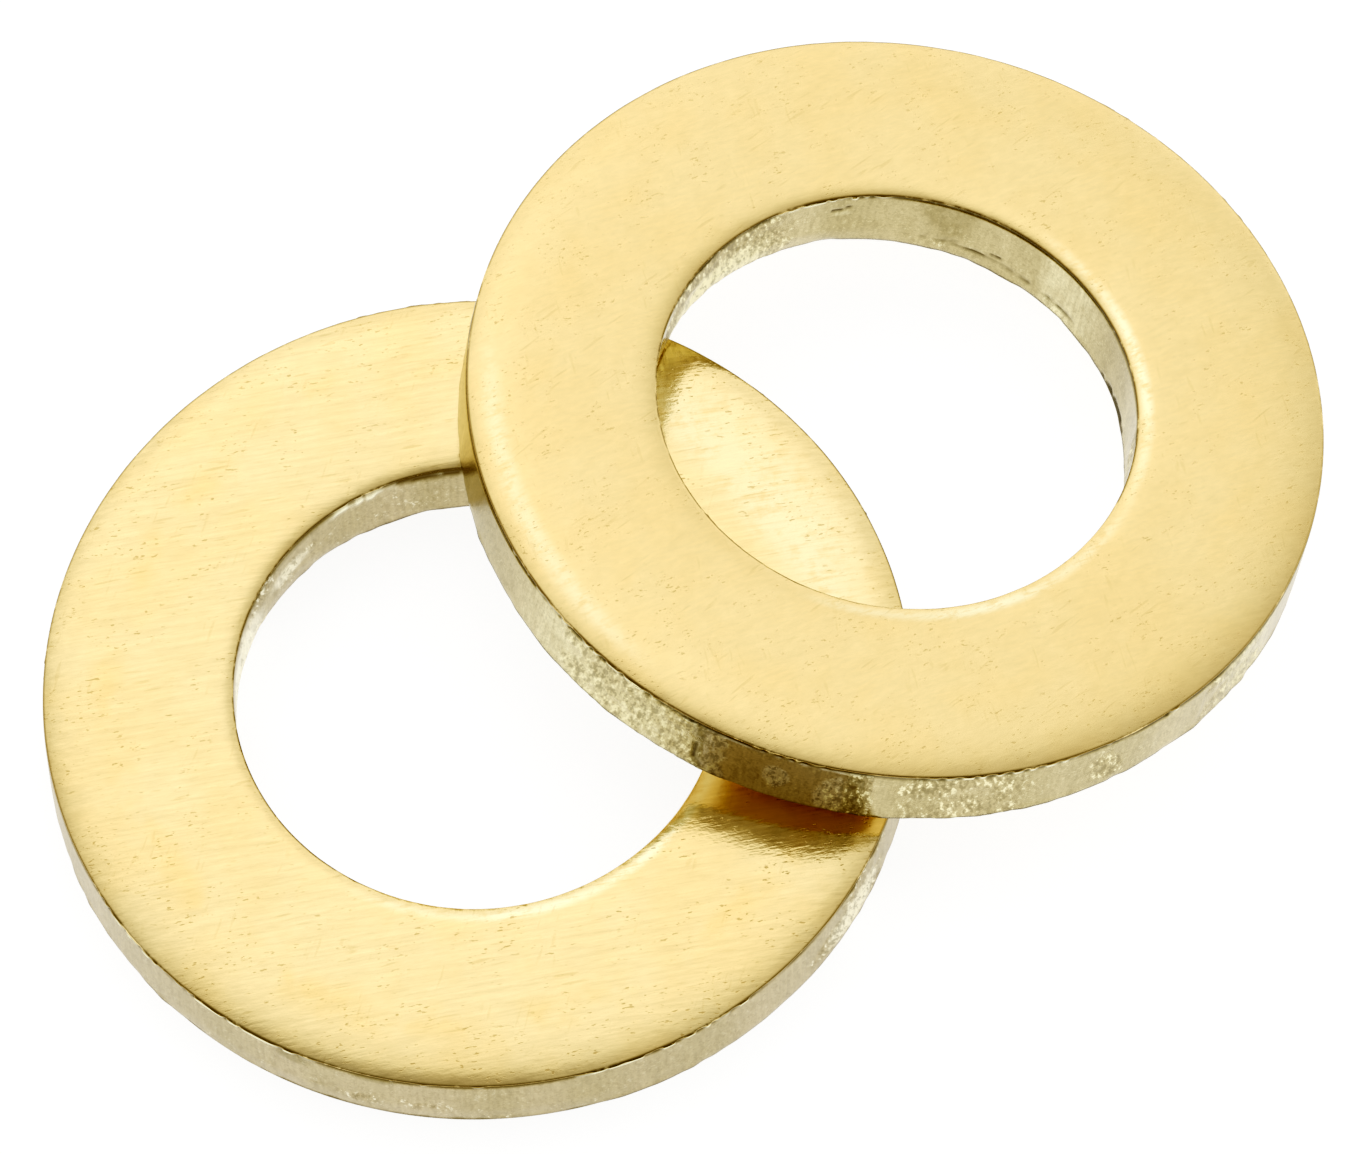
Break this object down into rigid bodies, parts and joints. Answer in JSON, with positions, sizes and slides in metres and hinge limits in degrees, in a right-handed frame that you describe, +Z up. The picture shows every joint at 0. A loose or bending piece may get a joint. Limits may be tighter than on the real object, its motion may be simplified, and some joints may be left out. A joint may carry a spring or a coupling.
{
  "type": "flat washer",
  "caption": "Blanked brass flat washer with a plain round bore and softly rolled top edges, lying flat, and its loose twin leaning on it; spreads the load under a bolt head or nut.",
  "frame": {"origin": "middle of the pair's footprint, on the surface that both washers stand on", "axes": "+Z up, along the flat washer's bore; +X from the flat washer towards the leaning one, along the pair's length; the pair is its own mirror image across the XZ plane"},
  "size_m": [0.0236, 0.015, 0.0039],
  "materials": {
    "brushed_brass": "brushed",
    "satin_brass": "satin"
  },
  "bodies": {
    "lower_washer": {"lower_washer": "brushed_brass"},
    "upper_washer": {"upper_washer": "satin_brass"}
  },
  "joints": [
    {"name": "upper_washer_lift", "type": "slide", "parent": "lower_washer", "child": "upper_washer", "axis": [0, 0, 1], "range_m": [0, 0.02]}
  ]
}
